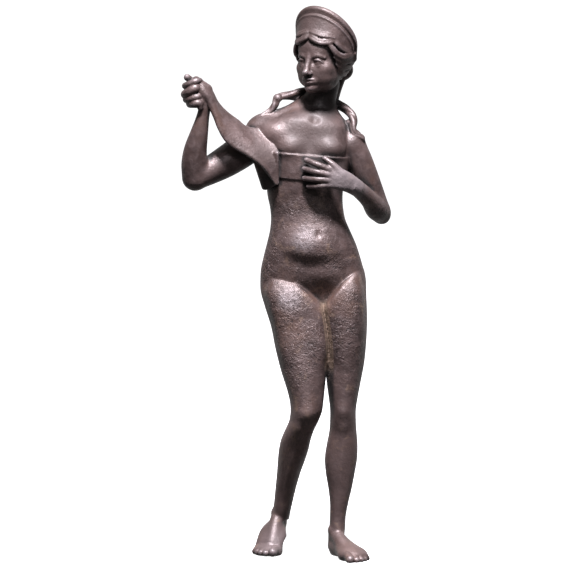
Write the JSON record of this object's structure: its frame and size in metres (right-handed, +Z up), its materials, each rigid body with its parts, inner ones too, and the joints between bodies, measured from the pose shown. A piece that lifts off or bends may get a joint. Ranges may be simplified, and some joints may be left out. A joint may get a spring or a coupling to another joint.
{
  "type": "roman silver statuette",
  "caption": "Solid-cast silver figurine of a standing nude goddess with a high crescent diadem, winding a breast band whose free end is drawn out by the raised right hand",
  "frame": {"origin": "bottom centre of the figure's box, on the surface that the soles stand on", "axes": "+Z up; the figure faces -Y; +X is the figure's left"},
  "size_m": [0.0607, 0.0288, 0.16],
  "materials": {
    "tarnished_silver": "cast silver, tarnished dark brown, pitted, rubbed brighter on the high places"
  },
  "bodies": {
    "root": {"statuette": "tarnished_silver"}
  },
  "joints": []
}
